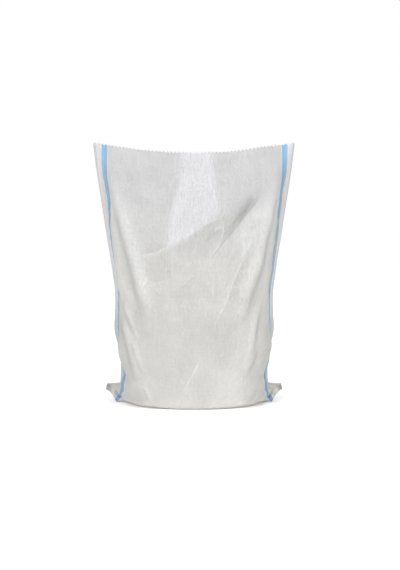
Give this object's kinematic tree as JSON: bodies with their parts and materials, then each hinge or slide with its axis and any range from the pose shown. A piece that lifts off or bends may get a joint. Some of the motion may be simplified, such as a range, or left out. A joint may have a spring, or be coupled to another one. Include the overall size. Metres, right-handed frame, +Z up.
{
  "type": "rubble sack",
  "caption": "Woven plastic rubble sack standing open and bulged on its sewn bottom, with a pinked mouth, a stripe near each side fold and two flat corner ears.",
  "frame": {"origin": "on the floor, under the middle of the sack's bounding box", "axes": "+Z up out of the mouth, +X along the bottom seam to the sack's left ear, -Y to the front panel"},
  "size_m": [0.546, 0.2432, 0.711],
  "materials": {
    "woven_polypropylene": "plain weave of flat translucent white tapes, satin, with a sky-blue stripe near each side fold",
    "sewing_thread": "matte white spun thread in chain stitch"
  },
  "bodies": {
    "root": {"woven_sack": "woven_polypropylene", "bottom_seam_thread": "sewing_thread"}
  },
  "joints": []
}
